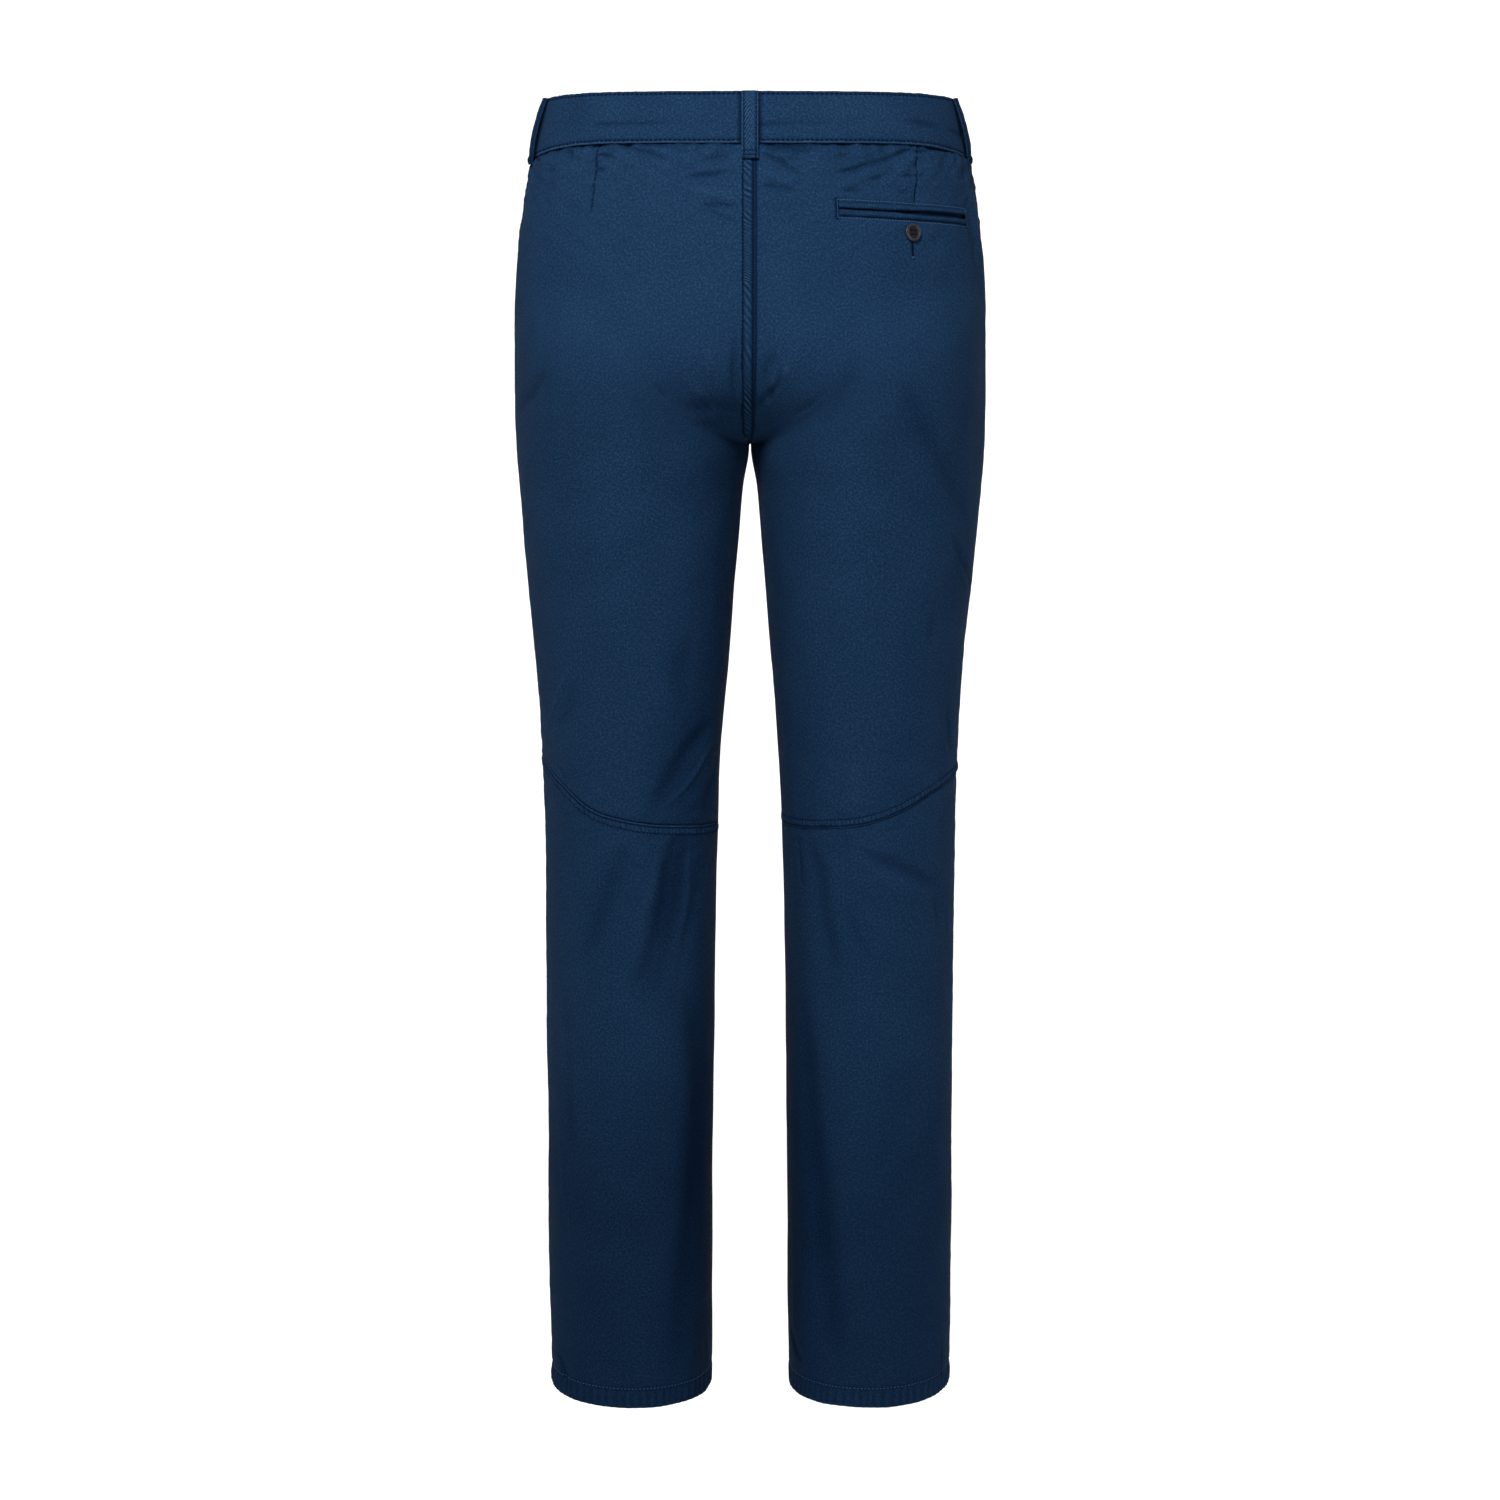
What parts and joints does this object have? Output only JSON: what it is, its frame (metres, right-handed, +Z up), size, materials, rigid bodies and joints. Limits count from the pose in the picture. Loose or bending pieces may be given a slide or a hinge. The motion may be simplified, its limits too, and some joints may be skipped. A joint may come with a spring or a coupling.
{
  "type": "hiking trousers",
  "caption": "Slim woven hiking trousers with a fitted waistband, belt loops, articulated knee seams and a buttoned welt pocket at the back, filled out as worn.",
  "frame": {"origin": "middle of the waist opening, at the height of the waistband's top edge at the centre back", "axes": "+Z up the body, +Y to the front, +X to the wearer's right"},
  "size_m": [0.3796, 0.2493, 1.0723],
  "materials": {
    "body_cloth": "matt, plain dark navy weave",
    "band_cloth": "matt, plain dark navy weave",
    "seam_cloth": "matt, plain dark navy weave",
    "loop_cloth": "matt, plain dark navy weave",
    "welt_cloth": "matt, plain dark navy weave",
    "button_horn": "smooth, dark brown horn effect"
  },
  "bodies": {
    "root": {"back_left": "body_cloth", "back_right": "body_cloth", "belt_loop_back": "loop_cloth", "belt_loop_front_left": "loop_cloth", "belt_loop_front_right": "loop_cloth", "belt_loop_left": "loop_cloth", "belt_loop_right": "loop_cloth", "calf_left": "body_cloth", "calf_right": "body_cloth", "fly_edge": "seam_cloth", "front_left": "body_cloth", "front_right": "body_cloth", "knee_fell_left": "seam_cloth", "knee_fell_right": "seam_cloth", "pocket_button": "button_horn", "pocket_welt_lower": "welt_cloth", "pocket_welt_upper": "welt_cloth", "seat_fell": "seam_cloth", "waist_button": "button_horn", "waistband": "band_cloth"}
  },
  "joints": []
}
